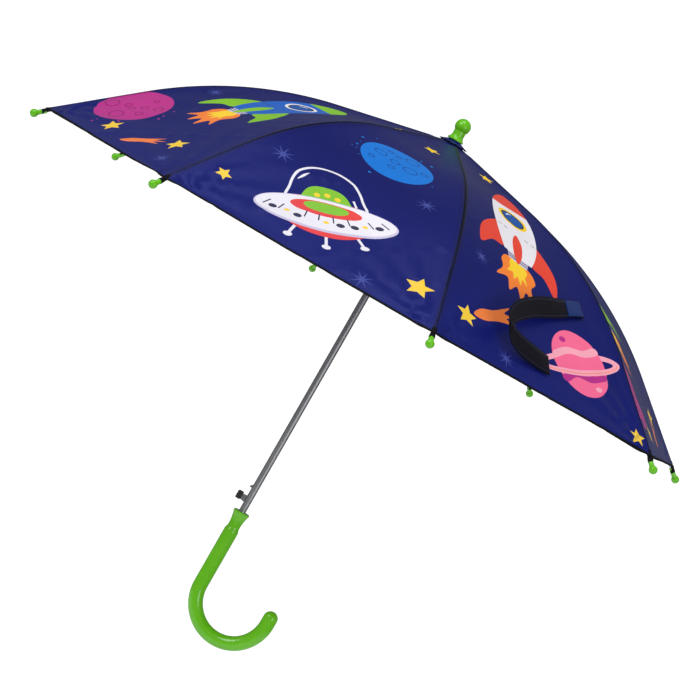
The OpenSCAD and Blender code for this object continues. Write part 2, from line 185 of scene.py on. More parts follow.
def place(tree, group, **values):  # a group node; its inputs are named as the group's are, less the capital
    n = tree.nodes.new("ShaderNodeGroup")
    n.node_tree = group
    for label, value in values.items():
        socket = n.inputs[label.capitalize()]
        if hasattr(value, "is_linked"):
            tree.links.new(value, socket)
        else:
            socket.default_value = value
    return n


def textureSpace(tree, kind):  # object coordinates, or a named layer of flat cloth coordinates
    if kind == "object":
        return tree.nodes.new("ShaderNodeTexCoord").outputs["Object"]
    n = tree.nodes.new("ShaderNodeUVMap")
    n.uv_map = kind
    return n.outputs[0]


def separated(tree, vector):
    n = tree.nodes.new("ShaderNodeSeparateXYZ")
    tree.links.new(vector, n.inputs[0])
    return n.outputs


def blendColour(tree, factor, a, b):
    n = tree.nodes.new("ShaderNodeMix")
    n.data_type = "RGBA"
    tree.links.new(factor, n.inputs["Factor"])
    for socket, value in ((n.inputs[6], a), (n.inputs[7], b)):
        if hasattr(value, "is_linked"):
            tree.links.new(value, socket)
        else:
            socket.default_value = (*value, 1)
    return n.outputs[2]


def spread(tree, value, low, high, upTo=1.0):
    n = tree.nodes.new("ShaderNodeMapRange")
    n.inputs["From Max"].default_value = upTo
    n.inputs["To Min"].default_value = low
    n.inputs["To Max"].default_value = high
    tree.links.new(value, n.inputs["Value"])
    return n.outputs[0]


def bumped(tree, shader, height, distance, strength=1.0):
    n = tree.nodes.new("ShaderNodeBump")
    n.inputs["Distance"].default_value = distance
    n.inputs["Strength"].default_value = strength
    tree.links.new(height, n.inputs["Height"])
    tree.links.new(n.outputs[0], shader.inputs["Normal"])


# mesh helpers


def newObject(name, verts, faces, material=None):
    mesh = bpy.data.meshes.new(name)
    mesh.from_pydata(verts, [], faces)
    if material is not None:
        mesh.materials.append(material)
    mesh.polygons.foreach_set("use_smooth", [True] * len(faces))
    obj = bpy.data.objects.new(name, mesh)
    bpy.context.scene.collection.objects.link(obj)
    return obj


def turnOutward(mesh):
    b = bmesh.new()
    b.from_mesh(mesh)
    bmesh.ops.recalc_face_normals(b, faces=b.faces)
    b.to_mesh(mesh)
    b.free()


def ringFaces(rings, turns):  # quads between closed rings of points
    return [[i * turns + j, i * turns + (j + 1) % turns, (i + 1) * turns + (j + 1) % turns, (i + 1) * turns + j]
            for i in range(rings - 1) for j in range(turns)]


def endCaps(rings, turns):
    return [list(range(turns))[::-1], [(rings - 1) * turns + j for j in range(turns)]]


def loopOf(wide, high, steps):
    return [(wide * math.cos(t), high * math.sin(t)) for t in (2 * math.pi * i / steps for i in range(steps))]


def throughPoints(a, b, c, e, t):  # smooth curve from b to c
    return [0.5 * (2 * q + (r - p) * t + (2 * p - 5 * q + 4 * r - u) * t * t + (3 * q - p - 3 * r + u) * t ** 3)
            for p, q, r, u in zip(a, b, c, e)]


# cloth: shape of the dome, in mm and degrees
dome = dict(ribs=8, firstRib=22.5, tipRadius=360.0, hingeRadius=7.0, height=171.2, tipZ=273.6,
            topSlope=12.5, hemSlope=39.5, bowRadius=390.0, dip=5.0, lift=2.3, start=-1.2, tipGap=12.4,
            wrinkle=1.15, seamRise=0.45)


def solveDome(d):
    t1, t2 = math.radians(d["topSlope"]), math.radians(d["hemSlope"])
    drop = d["tipRadius"] * math.tan(t2) - d["height"] - d["hingeRadius"] * math.tan(t1)
    meetR = drop / (math.tan(t2) - math.tan(t1))
    meet = (meetR, (d["tipRadius"] - meetR) * math.tan(t2))
    side = d["bowRadius"] * math.tan((t2 - t1) / 2)
    start = (meet[0] - side * math.cos(t1), meet[1] + side * math.sin(t1))
    d["slopes"] = (t1, t2)
    d["centre"] = (start[0] - d["bowRadius"] * math.sin(t1), start[1] - d["bowRadius"] * math.cos(t1))
    d["bowFrom"] = math.dist(start, (d["hingeRadius"], d["height"]))
    d["bowTo"] = d["bowFrom"] + d["bowRadius"] * (t2 - t1)
    d["length"] = d["bowTo"] + math.dist(meet, (d["tipRadius"], 0)) - side
    d["hem"] = d["length"] - d["tipGap"]


solveDome(dome)


def onRib(s, off):  # (radius, height above the tip plane) at a distance s from the hinge
    d = dome
    t1, t2 = d["slopes"]
    a = min(max(t1 + (s - d["bowFrom"]) / d["bowRadius"], t1), t2)
    if s < d["bowFrom"]:
        r, z = d["hingeRadius"] + s * math.cos(t1), d["height"] - s * math.sin(t1)
        return r + off * math.sin(a), z + off * math.cos(a)
    r = d["centre"][0] + (d["bowRadius"] + off) * math.sin(a)
    z = d["centre"][1] + (d["bowRadius"] + off) * math.cos(a)
    over = max(0.0, s - d["bowTo"])
    return r + over * math.cos(t2), z - over * math.sin(t2)


halfStep = math.pi / dome["ribs"]


def ribAngle(index):
    return math.radians(dome["firstRib"]) + index * 2 * halfStep


def halfWidth(s):
    return onRib(s, dome["lift"])[0] * math.sin(halfStep)


def smooth(t):
    t = min(max(t, 0.0), 1.0)
    return t * t * (3 - 2 * t)


relief = dict(cornerReach=75, cornerStart=18, rays=15, waves=0.5, ripples=0.16, packing=0.32, packingWidth=0.05,
              quietEdge=14)


def folds(x, s, seed):  # small tension folds that run out of the hem corners, slow waves, a few packing creases
    k = relief
    half = halfWidth(s)
    edge = half - abs(x)
    low = 0.0
    for side in (-1, 1):
        dx, ds = (half * side - x) * side, dome["hem"] - s
        d = math.hypot(dx, ds)
        a = math.atan2(ds, max(dx, 1e-6))
        ray = math.sin(a * k["rays"] + 0.02 * d + seed * 1.7 + side)
        low += math.exp(-d / k["cornerReach"]) * smooth(d / k["cornerStart"]) * ray
    low += k["waves"] * noise.noise(Vector((x * 0.016, s * 0.007, seed * 3.1))) * smooth(s / 80)
    low += k["ripples"] * noise.noise(Vector((x * 0.05, s * 0.02, seed * 5.3)))
    crease = noise.noise(Vector((x * 0.011 + s * 0.013, s * 0.004, seed * 7.7)))
    low += k["packing"] * (1 - smooth(abs(crease) / k["packingWidth"])) * smooth(s / 120)
    return dome["wrinkle"] * low * smooth(edge / k["quietEdge"])


def hollow(s, w):  # how far the cloth sinks between two ribs, w being the share of the way across
    return dome["dip"] * math.sin(math.pi * min(max(s / dome["hem"], 0), 1)) * (1 - (1 - 2 * w) ** 2)


def acrossPanel(panel, r, z, w):  # in mm
    a, b = ribAngle(panel), ribAngle(panel) + 2 * halfStep
    x = r * (math.cos(a) * (1 - w) + math.cos(b) * w)
    y = r * (math.sin(a) * (1 - w) + math.sin(b) * w)
    return x, y, z + dome["tipZ"]


def clothPoint(panel, x, s):  # x across the panel from its middle, s along it, both in mm of flat cloth
    half = halfWidth(s)
    w = min(max(x / (2 * half) + 0.5, 0.0), 1.0)
    edge = half - abs(x)
    rise = dome["seamRise"] * (1 - smooth((edge - 0.8) / 2.6)) if s > 12 else 0.0
    r, z = onRib(s, dome["lift"] - hollow(s, w) + folds(x, s, panel) + rise)
    return Vector([c * mm for c in acrossPanel(panel, r, z, w)])


def clothNormal(panel, x, s):
    reach = 0.8
    half = halfWidth(s) - 0.01
    left, right = max(x - reach, -half), min(x + reach, half)
    across = clothPoint(panel, right, s) - clothPoint(panel, left, s)
    above, below = (clothPoint(panel, min(max(x, -halfWidth(t)), halfWidth(t)), t)
                    for t in (max(s - reach, dome["start"]), min(s + reach, dome["hem"])))
    n = (below - above).cross(across)
    n = n if n.z > 0 else -n
    return n.normalized()


# cloth: printed designs
inks = dict(
    navy=(0.0025, 0.0055, 0.105), magenta=(0.44, 0.022, 0.2), wine=(0.27, 0.008, 0.11),
    rocketBlue=(0.004, 0.1, 0.46), planetBlue=(0.001, 0.15, 0.56), deepBlue=(0.001, 0.075, 0.33),
    leaf=(0.2, 0.48, 0.006), orange=(0.84, 0.2, 0.012), yellow=(0.88, 0.56, 0.008), pink=(0.9, 0.13, 0.25),
    palePink=(0.9, 0.35, 0.42), lavender=(0.52, 0.48, 0.62), red=(0.7, 0.05, 0.02), white=(0.72, 0.7, 0.74),
    # the darkest ink paints shade along each rib seam and darkens the hem edge under the black binding
    ink=(0.035, 0.035, 0.05), faint=(0.045, 0.06, 0.26), piping=(0.0025, 0.0025, 0.009))


def ellipse(ink, x, y, a, b=None, tilt=0.0, n=None):
    b = a if b is None else b
    n = n or max(14, int(max(a, b) * 1.3))
    c, s = math.cos(math.radians(tilt)), math.sin(math.radians(tilt))
    return ink, [(x + px * c - py * s, y + px * s + py * c) for px, py in loopOf(a, b, n)]


def star(ink, x, y, r, turn=0.0, inner=0.46, points=5):
    outline = []
    for i in range(2 * points):
        reach, a = r if i % 2 == 0 else r * inner, math.radians(turn) + math.pi * i / points
        outline.append((x + reach * math.sin(a), y - reach * math.cos(a)))
    return ink, outline


def rounded(ink, pts, cuts=5):  # closed smooth outline through a few points
    out, n = [], len(pts)
    for i in range(n):
        near = [pts[(i + k - 1) % n] for k in range(4)]
        out += [tuple(throughPoints(*near, j / cuts)) for j in range(cuts)]
    return ink, out


def stroke(ink, a, b, width):
    dx, dy = b[0] - a[0], b[1] - a[1]
    l = math.hypot(dx, dy)
    nx, ny = -dy / l * width / 2, dx / l * width / 2
    return ink, [(p[0] + k * nx, p[1] + k * ny) for p, k in ((a, 1), (b, 1), (b, -1), (a, -1))]


def placed(shapes, x, y, tilt=0.0, size=1.0):  # local y up, which is towards the top of the dome
    c, s = math.cos(math.radians(tilt)), math.sin(math.radians(tilt))
    return [(ink, [(x + size * (px * c - py * s), y - size * (px * s + py * c)) for px, py in pts])
            for ink, pts in shapes]


def rocket(body, trim, ring):
    belly, widest, top = 27, 55, 141

    def half(y):
        if y < widest:
            return belly - 9 * ((widest - y) / widest) ** 2
        return belly * math.sqrt(max(0.0, 1 - ((y - widest) / (top - widest)) ** 2)) ** 1.25

    def band(ink, low, high):
        ys = [low + (high - low) * i / 14 for i in range(15)]
        return ink, [(half(y), y) for y in ys] + [(-half(y), y) for y in reversed(ys)]

    flame = [(-13, -10), (-22, -22), (-20, -36), (-27, -52), (-13, -46), (-9, -62), (0, -50), (8, -66), (12, -48),
             (24, -56), (18, -38), (23, -24), (13, -10)]
    out = [rounded("orange", flame), rounded("yellow", [(x * 0.52, -10 + (y + 10) * 0.6) for x, y in flame])]
    for side in (-1, 1):
        fin = [(20, 46), (38, 30), (50, 4), (50, -24), (34, -4), (18, 4)]
        out.append(rounded(trim, [(side * x, y) for x, y in fin]))
    out += [("lavender", [(-14, 2), (14, 2), (12, -11), (-12, -11)])]
    out += [stroke("ink", (-13, -3), (13, -3), 1.4), stroke("ink", (-12.4, -7), (12.4, -7), 1.4)]
    out += [band(body, 0, top), band(trim, 104, top)]
    out += [rounded(trim, [(0, 42), (6, 26), (5, 2), (0, -12), (-5, 2), (-6, 26)])]
    out += [stroke("ink", (x, 46 - abs(x) * 0.1), (x + 5, 46 - abs(x + 5) * 0.1), 1.2) for x in (-24, -16, 11, 19)]
    out += [ellipse(ring, 0, 78, 18), ellipse("ink", 0, 78, 14.5), ellipse("deepBlue", 0, 78, 12.5)]
    out += [rounded("white", [(-8, 82), (-5, 87), (0, 88), (-4, 85), (-7, 81)])]
    return out


def saucer():
    out = []
    for x, y in ((-40, -46), (0, -54), (40, -44)):
        out += [stroke("white", (x * 0.62, -14), (x, y), 3.2), ellipse("white", x, y, 4.8, 3.6)]
    glass = [(-39, 4), (-40, 34), (-31, 60), (-12, 73), (12, 73), (31, 60), (40, 34), (39, 4)]
    night = [(-36.4, 4), (-37.4, 33), (-29, 57.6), (-11, 70.4), (11, 70.4), (29, 57.6), (37.4, 33), (36.4, 4)]
    out += [ellipse("red", 0, -15, 45, 23), rounded("white", glass), rounded("navy", night)]
    out += [rounded("white", [(-31, 46), (-26, 54), (-18, 60), (-24, 52)]), stroke("white", (32, 20), (29, 31), 2.4)]
    out += [ellipse("red", 0, 10, 49, 13)]
    out += [rounded("leaf", [(-25, 6), (-24, 28), (-12, 41), (12, 41), (24, 28), (25, 6)])]
    out += [ellipse("yellow", x, y, 3.4) for x, y in ((-10, 27), (1, 30), (12, 27))]
    out += [ellipse("lavender", 0, -4, 76, 26), ellipse("white", 0, -2.5, 74, 23.4), ellipse("red", 0, 6, 38, 11)]
    out += [rounded("leaf", [(-24, 8), (-12, 1), (12, 1), (24, 8), (14, 15), (-14, 15)])]
    out += [ellipse("ink", x, -15 + x * x * 0.0028, 4.6, 3.2) for x in (-56, -30, 15, 30, 56)]
    out += [stroke("ink", (x, -3 + x * x * 0.0018), (x * 1.14, -13 + x * x * 0.0024), 1.5)
            for x in (-58, -44, -20, -7, 7, 22, 44, 58)]
    out += [ellipse("yellow", x, y, 3.2, 2.2) for x, y in ((0, -14), (-41, -8), (41, -8))]
    return out


def planet(body, mark, r, seed):
    rnd = random.Random(seed)
    craters, tries, most, gap, rim, flat = [], 60, 9, 2, 1.5, 0.86
    for _ in range(tries):
        cr = rnd.uniform(0.08, 0.24) * r
        a, d = rnd.uniform(0, 6.28), rnd.uniform(0, 0.78) * r
        x, y = d * math.cos(a), d * math.sin(a)
        if d + cr < r * 0.93 and all(math.hypot(x - p, y - q) > cr + o + gap for p, q, o in craters):
            craters.append((x, y, cr))
        if len(craters) >= most:
            break
    shapes = [ellipse(body, 0, 0, r)]
    for x, y, cr in craters:
        shapes += [ellipse(mark, x, y, cr, cr * flat), ellipse(body, x, y, cr - rim, cr * flat - rim)]
    for _ in range(11):  # specks around it
        a, d = rnd.uniform(0, 6.28), r * rnd.uniform(1.08, 1.3)
        shapes.append(ellipse(body, d * math.cos(a), d * math.sin(a), rnd.uniform(0.7, 1.7), n=8))
    return shapes


def ringedPlanet():
    def arc(a, b, low, high, n=26):
        return [(a * math.cos(t), b * math.sin(t)) for t in (low + (high - low) * i / n for i in range(n + 1))]

    back = ("palePink", arc(66, 14, 0, 2 * math.pi, 60)[:-1])
    gap = ("navy", arc(55, 7, 0, 2 * math.pi, 60)[:-1])
    front = ("palePink", arc(66, 14, math.pi, 2 * math.pi) + arc(55, 7, 2 * math.pi, math.pi))
    highBand = [(-36, 14), (-12, 20), (12, 16), (34, 20), (37, 12), (12, 8), (-12, 12), (-38, 6)]
    lowBand = [(-37, -14), (-8, -8), (16, -14), (36, -12), (33, -19), (8, -22), (-14, -16), (-33, -22)]
    ball = [ellipse("pink", 0, 0, 40), rounded("palePink", highBand), rounded("magenta", lowBand),
            ellipse("magenta", -12, 29, 5, 3.5), ellipse("palePink", 14, -30, 5, 3)]
    line = ("orange", arc(62, 11.4, math.pi, 2 * math.pi) + arc(61, 10.6, 2 * math.pi, math.pi))
    return [back, gap] + ball + [front, line]


def comet(ink):
    return [rounded(ink, [(0, 0), (14, 7), (34, 8), (62, 14), (50, 6), (68, 3), (50, 0), (60, -7), (36, -5), (14, -6)])]


def glint(x, y, r):  # a faint star with eight thin points
    return star("faint", x, y, r, 0, 0.2, 8)


panelDesigns = dict(
    left=placed(planet("magenta", "wine", 39, 4), -78, 320)
    + placed(rocket("rocketBlue", "leaf", "white"), -5, 240, 6, 0.9)
    + [star("yellow", -40, 360, 12, 10), star("yellow", 58, 338, 12, 20)]
    + placed(comet("orange"), 4, 372, 36, 0.72)
    + [glint(-70, 236, 10), glint(84, 366, 11), star("yellow", 6, 62, 8, 10)],
    front=placed(planet("planetBlue", "deepBlue", 36, 9), 0, 182)
    + placed(saucer(), -8, 318, 28, 0.86)
    + [star("yellow", -100, 342, 8, 12), star("yellow", 99, 345, 14, -8), star("yellow", 2, 78, 9, 20)]
    + [glint(-76, 276, 12), glint(57, 374, 12), glint(52, 232, 11)],
    right=placed(rocket("white", "red", "yellow"), -13, 226, -13, 0.95)
    + placed(ringedPlanet(), 50, 324, 25, 0.88)
    + [star("yellow", -93, 345, 12, 6), star("yellow", 10, 64, 9, 15), star("yellow", 118, 374, 10, 0)]
    + [glint(-48, 370, 11), glint(-68, 262, 10)]
    + placed(comet("orange"), -84, 338, 22, 0.9))
panelOrder = ["front", "right", "front", "right", "left", "front", "right", "left"]


def inside(points, outline):
    x, y = points[:, 0], points[:, 1]
    result = np.zeros(len(points), bool)
    n = len(outline)
    for i in range(n):
        (x1, y1), (x2, y2) = outline[i], outline[(i + 1) % n]
        if y1 == y2:
            continue
        cross = (y1 > y) != (y2 > y)
        result ^= cross & (x < (x2 - x1) * (y - y1) / (y2 - y1) + x1)
    return result


def flatPanel(shapes):  # the panel cut into triangles that follow every printed edge
    d = dome
    rows = [d["start"] + (d["hem"] - d["start"]) * i / 60 for i in range(61)]
    pts, edges = [], []

    def line(run, closed=False):
        first = len(pts)
        pts.extend(run)
        edges.extend((first + i, first + i + 1) for i in range(len(run) - 1))
        if closed:
            edges.append((first + len(run) - 1, first))
    left = [(-halfWidth(s), s) for s in rows]
    right = [(halfWidth(s), s) for s in rows]
    hemHalf = halfWidth(d["hem"])
    hem = [(-hemHalf + 2 * hemHalf * i / 46, d["hem"]) for i in range(1, 46)]
    line(left + hem + right[::-1], True)
    for inset in (1.5, 3.2):
        for side in (-1, 1):
            line([(side * (halfWidth(s) - inset), s) for s in rows if s > 18])
    line([(0, s) for s in rows])
    for up in (2.0, 7.0):
        half = halfWidth(d["hem"] - up)
        line([(-half + 4 + (2 * half - 8) * i / 40, d["hem"] - up) for i in range(41)])
    for ink, outline in shapes:
        line(outline, True)
    s, row, pitch = 8.0, 0, 8
    while s < d["hem"] - 9:  # staggered points in between
        half = halfWidth(s) - 6
        n = int(half / pitch)
        for i in range(-n, n + 1):
            x = i * pitch + (pitch // 2 if row % 2 else 0)
            if 3 < abs(x) < half:
                pts.append((x, s))
        s += 7.5
        row += 1
    verts, _, faces, *_ = geometry.delaunay_2d_cdt([Vector(p) for p in pts], edges, [], 0, 1e-4)
    verts = np.array([tuple(v) for v in verts])
    mid = np.array([verts[list(f)].mean(0) for f in faces])
    halves = np.array([halfWidth(m[1]) for m in mid])
    keep = (np.abs(mid[:, 0]) < halves) & (mid[:, 1] < d["hem"]) & (mid[:, 1] > d["start"])
    inkOf = np.array(["navy"] * len(faces), dtype=object)
    for ink, outline in shapes:
        inkOf[inside(mid, outline)] = ink
    # painted shade: a dark strip along each rib seam; the strip at the hem lies under the black binding
    inkOf[(halves - np.abs(mid[:, 0]) < 1.5) & (mid[:, 1] > 18)] = "piping"
    inkOf[mid[:, 1] > d["hem"] - 2.0] = "piping"
    return verts, [(f, ink) for f, ink, k in zip(faces, inkOf, keep) if k], mid[keep]


designs = {name: flatPanel(shapes) for name, shapes in panelDesigns.items()}
print("designs drawn", {k: len(v[1]) for k, v in designs.items()})

cloth = dict(roughness=0.36, smoother=0.06, rougher=0.09, thread=0.00042, weaveDepth=0.00006, sheen=0.04,
             sheenRoughness=0.3, sheenTint=(0.55, 0.6, 1.0), specular=0.26, gloss=(0.4, 0.45, 1.0),
             stitch=(0.02, 0.02, 0.1), paintedHemSheenAmount=0.55, paintedHemSheenWidth=0.16, paintedSeamShade=0.007, paintedSeamShadeDepth=0.65,
             pale=(0.004, 0.007, 0.07))


def shaded(colour, share):
    return tuple(c * share for c in colour)


def inkMaterial(name, colour):
    k = cloth
    m, tree, shader = newMaterial("cloth_" + name, roughness=k["roughness"], sheen=k["sheen"],
                                  sheenRoughness=k["sheenRoughness"], sheenTint=(*k["sheenTint"], 1),
                                  specular=k["specular"], specularTint=(*k["gloss"], 1))
    cut = textureSpace(tree, "cut")
    flat = place(tree, weave, vector=cut, thread=k["thread"])
    fromSeam, along, _ = separated(tree, cut)
    seam = place(tree, stitchRow, across=fromSeam, along=along, offset=0.0026, length=0.0032)
    sideways, fromHem, _ = separated(tree, textureSpace(tree, "hem"))
    hem = place(tree, stitchRow, across=fromHem, along=sideways, offset=0.006, length=0.0034)
    thread = calc(tree, "MAXIMUM", seam.outputs["Mask"], hem.outputs["Mask"])
    light = tuple(min(1, c) for c in shaded(colour, 1.25))
    base = blendColour(tree, flat.outputs["Shade"], shaded(colour, 0.8), light)
    base = blendColour(tree, thread, base, k["stitch"])
    # painted shade: the colour is darkened in the pucker along each seam
    paintedSeamShade = spread(tree, calc(tree, "ABSOLUTE", fromSeam), k["paintedSeamShadeDepth"], 0.0, k["paintedSeamShade"])
    base = blendColour(tree, calc(tree, "MULTIPLY", paintedSeamShade, flat.outputs["Shade"]), base, shaded(colour, 0.12))
    # painted sheen: the colour is made paler towards the hem
    paintedHemSheen = spread(tree, fromHem, k["paintedHemSheenAmount"], 0.0, k["paintedHemSheenWidth"])
    base = blendColour(tree, paintedHemSheen, base, tuple(c * 0.8 + f for c, f in zip(colour, k["pale"])))
    # the ink shows through to the underside a little
    under = tuple(c * 0.35 + n * 0.5 + 0.012 for c, n in zip(colour, inks["navy"]))
    back = tree.nodes.new("ShaderNodeNewGeometry").outputs["Backfacing"]
    tree.links.new(blendColour(tree, back, base, under), shader.inputs["Base Color"])
    rough = spread(tree, flat.outputs["Shade"], k["roughness"] - k["smoother"], k["roughness"] + k["rougher"])
    tree.links.new(rough, shader.inputs["Roughness"])
    raised = calc(tree, "MULTIPLY", thread, 3.0)
    height = calc(tree, "ADD", calc(tree, "MULTIPLY", flat.outputs["Height"], 0.35), raised)
    bumped(tree, shader, height, k["weaveDepth"])
    return m


inkNames = sorted(inks)
inkMaterials = {name: inkMaterial(name, inks[name]) for name in inkNames}


def ribName(index):  # panel p lies between ribs p and p + 1, counted from 0
    return "rib_%d" % (index % dome["ribs"] + 1)


def foldWith(obj, index):
    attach(obj, ribName(index))
    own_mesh(obj)


def makeSector(index):  # half of the panel on either side of one rib, sewn together over it
    verts, faces, uvs, hemUvs, inkIndex, normals = [], [], [], [], [], []
    area = 0.0
    shared = {}
    for panel, side in ((index - 1, 1), (index, -1)):
        panel %= dome["ribs"]
        flat, triangles, mids = designs[panelOrder[panel]]
        for (tri, ink), mid in zip(triangles, mids):
            if mid[0] * side < 0:
                continue
            face = []
            for v in tri:
                x, s = flat[v]
                atRib = halfWidth(s) - abs(x) < 0.02
                key = ("rib", round(s, 3)) if atRib else (panel, int(v))
                if key not in shared:
                    shared[key] = len(verts)
                    verts.append(clothPoint(panel, x, s))
                face.append(shared[key])
            a, b, c = (Vector((*flat[v], 0)) for v in tri)
            area += abs((b - a).cross(c - a).z) / 2 * mm * mm
            order = (0, 1, 2)
            p = [verts[i] for i in face]
            if (p[1] - p[0]).cross(p[2] - p[0]).z < 0:
                order = (0, 2, 1)
            if len(set(face)) < 3:
                continue
            faces.append([face[i] for i in order])
            inkIndex.append(inkNames.index(ink))
            for i in order:
                x, s = flat[tri[i]]
                across = (halfWidth(s) - abs(x)) * (1 if side < 0 else -1)
                uvs += [across * mm, s * mm]
                hemUvs += [x * mm, (dome["hem"] - s) * mm]
                normals.append(clothNormal(panel, x, s))
    obj = newObject("canopyPanel_%d" % (index + 1), verts, faces)
    mesh = obj.data
    for label, data in (("cut", uvs), ("hem", hemUvs)):
        mesh.uv_layers.new(name=label).data.foreach_set("uv", data)
    for name in inkNames:
        mesh.materials.append(inkMaterials[name])
    mesh.polygons.foreach_set("material_index", inkIndex)
    mesh.normals_split_custom_set([tuple(n) for n in normals])
    return obj, area


def tube(name, path, ups, profile, material):  # profile swept along a path and closed flat at both ends
    verts = []
    for i, p in enumerate(path):
        t = (path[min(i + 1, len(path) - 1)] - path[max(i - 1, 0)]).normalized()
        up = ups[i].normalized()
        side = up.cross(t).normalized()
        verts += [p + side * a + up * b for a, b in profile]
    sides = len(profile)
    obj = newObject(name, verts, ringFaces(len(path), sides) + endCaps(len(path), sides), material)
    turnOutward(obj.data)
    return obj


def makeTape():
    m, tree, shader = newMaterial("blackTape", roughness=0.75, specular=0.2)
    cells = place(tree, weave, vector=textureSpace(tree, "object"), thread=0.0007)
    colour = blendColour(tree, cells.outputs["Shade"], (0.0012, 0.0012, 0.003), (0.004, 0.004, 0.01))
    tree.links.new(colour, shader.inputs["Base Color"])
    bumped(tree, shader, cells.outputs["Height"], 0.00012)
    return m


tape = makeTape()
hemRoll = dict(width=0.55, height=1.5, steps=30, sides=8)
# distances back from the ball's middle, and half sizes at both ends
pocket = dict(start=19.0, end=7.4, wide=(2.3, 2.75), thick=(1.3, 2.68), rings=9, turns=16)


def makeHem(index, k):
    hem, steps = dome["hem"], k["steps"]
    path, ups = [], []
    half = halfWidth(hem)
    for panel, start in ((index - 1, 0), (index, -half)):
        panel %= dome["ribs"]
        for i in range(1 if path else 0, steps + 1):
            x = start + i / steps * half
            path.append(clothPoint(panel, x, hem - 0.4))
            ups.append(clothPoint(panel, x, hem - 3) - clothPoint(panel, x, hem))
    ring = loopOf(k["width"] * mm, k["height"] * mm, k["sides"])
    return tube("hemBinding_%d" % (index + 1), path, ups, ring, tape)


def makePocket(index, k):  # doubled cloth corner drawn over the neck of the tip
    a, rings, turns = ribAngle(index), k["rings"], k["turns"]
    verts = []
    for i in range(rings):
        t = i / (rings - 1)
        s = dome["length"] - k["start"] + (k["start"] - k["end"]) * t
        swell = 1 + 0.08 * math.sin(t * 9 + index) - 0.1 * (i == rings - 1)
        for j in range(turns):
            b = 2 * math.pi * j / turns
            wide = (k["wide"][0] * (1 - t) + k["wide"][1] * t) * math.cos(b) * swell
            thick = (k["thick"][0] * (1 - t) + k["thick"][1] * t) * math.sin(b) * swell
            r, z = onRib(s, thick + 1.6 * (1 - t))
            x, y = r * math.cos(a) - wide * math.sin(a), r * math.sin(a) + wide * math.cos(a)
            verts.append(Vector((x, y, z + dome["tipZ"])) * mm)
    return newObject("tipPocket_%d" % (index + 1), verts, ringFaces(rings, turns), tape)


for index in range(dome["ribs"]):
    sector, area = makeSector(index)
    tipPocket = makePocket(index, pocket)
    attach(tipPocket, ribName(index))
    hem = makeHem(index, hemRoll)
    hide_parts("canopy_%d" % (index + 1))
    foldWith(sector, index)
    foldWith(hem, index)
print("canopy sewn")

# gathered cloth under the ferrule
rosette = dict(strip=0.0111, inner=3.9, outer=15.0, pleats=15, wave=0.32, rise=0.35, rings=9, turns=240)


def makeRosette(r):
    rings, turns = r["rings"], r["turns"]
    verts = []
    for i in range(rings):
        t = i / (rings - 1)
        for j in range(turns):
            a = 2 * math.pi * j / turns
            ripple = math.sin(a * r["pleats"] + 1.1 * math.sin(a * 3)) * (0.25 + 0.75 * t)
            radius = r["inner"] + (r["outer"] - r["inner"]) * t * (1 + 0.02 * math.sin(a * 7) * t)
            base = dome["height"] + 3.4 - (radius - dome["hingeRadius"]) * math.tan(dome["slopes"][0])
            z = base + 2.4 * (1 - t) ** 1.3 + r["rise"] + r["wave"] * ripple * t
            verts.append(Vector((radius * math.cos(a), radius * math.sin(a), z + dome["tipZ"])) * mm)
    faces = [[a, d, c, b] for a, b, c, d in ringFaces(rings, turns)]  # turned over, to face up
    obj = newObject("rosetteCloth", verts, faces, inkMaterials["navy"])
    mesh = obj.data
    layer = mesh.uv_layers.new(name="cut")
    mesh.uv_layers.new(name="hem").data.foreach_set("uv", [0.05] * (2 * len(mesh.loops)))
    for loop in mesh.loops:
        v = mesh.vertices[loop.vertex_index].co
        layer.data[loop.index].uv = (0.02 + math.atan2(v.y, v.x) * 0.01, math.hypot(v.x, v.y))
    return obj, sum(f.area for f in mesh.polygons)


ruffle, ruffleArea = makeRosette(rosette)
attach(ruffle, "shaft")
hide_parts("rosette")

# tie strap; its path is (distance up from the hem, share of the way across, lift off the cloth, turn), where
# turn 0 lies flat along the rib and 1 stands along "hang"
strap = dict(panel=6, width=19.0, thick=1.2, lift=3.85, steps=72, hang=(0.49, 0.08, -0.87),
             patch=(0.001, 0.03, 0.2), lowPatch=(0.001, 0.02, 0.06), patchInset=1.6, patchThick=0.7, patchShift=0.9,
             path=[(132.6, 0.81, 0.4, 0), (124.6, 0.72, 1.2, 0), (112.6, 0.62, 4, 0.4), (98.6, 0.51, 8, 0.9),
                   (82.6, 0.405, 12, 1), (60.6, 0.305, 16, 1), (39.6, 0.27, 16, 1), (32.6, 0.33, 10, 1),
                   (33.6, 0.425, 5, 0.8), (36.6, 0.52, 1, 0.2)])


def alongPath(path, t):
    i = min(int(t), len(path) - 2)
    last = len(path) - 1
    return throughPoints(path[max(i - 1, 0)], path[i], path[i + 1], path[min(i + 2, last)], t - i)


def plainCloth(panel, s, w, off):  # the canopy without its folds
    r, z = onRib(s, off - hollow(s, w))
    return Vector(acrossPanel(panel, r, z, w)) * mm


def strapFrames(k):  # middle, half width direction and face direction at each step
    feet = [alongPath(k["path"], i / k["steps"] * (len(k["path"]) - 1)) for i in range(k["steps"] + 1)]
    feet = [(dome["hem"] - up, w, lift, turn) for up, w, lift, turn in feet]
    ground = [plainCloth(k["panel"], s, w, k["lift"]) for s, w, _, _ in feet]
    ups = [(plainCloth(k["panel"], s, w, k["lift"] + 5) - g).normalized()
           for (s, w, _, _), g in zip(feet, ground)]
    mids = [g + up * lift * mm for g, up, (_, _, lift, _) in zip(ground, ups, feet)]
    out = []
    for i, ((s, w, _, turn), m) in enumerate(zip(feet, mids)):
        run = (mids[min(i + 1, len(mids) - 1)] - mids[max(i - 1, 0)]).normalized()
        down = (plainCloth(k["panel"], s + 1, w, k["lift"]) - ground[i]).normalized()
        a = (down * (1 - turn) + Vector(k["hang"]) * turn).normalized()
        out.append((m, a, run.cross(a).normalized()))
    return out


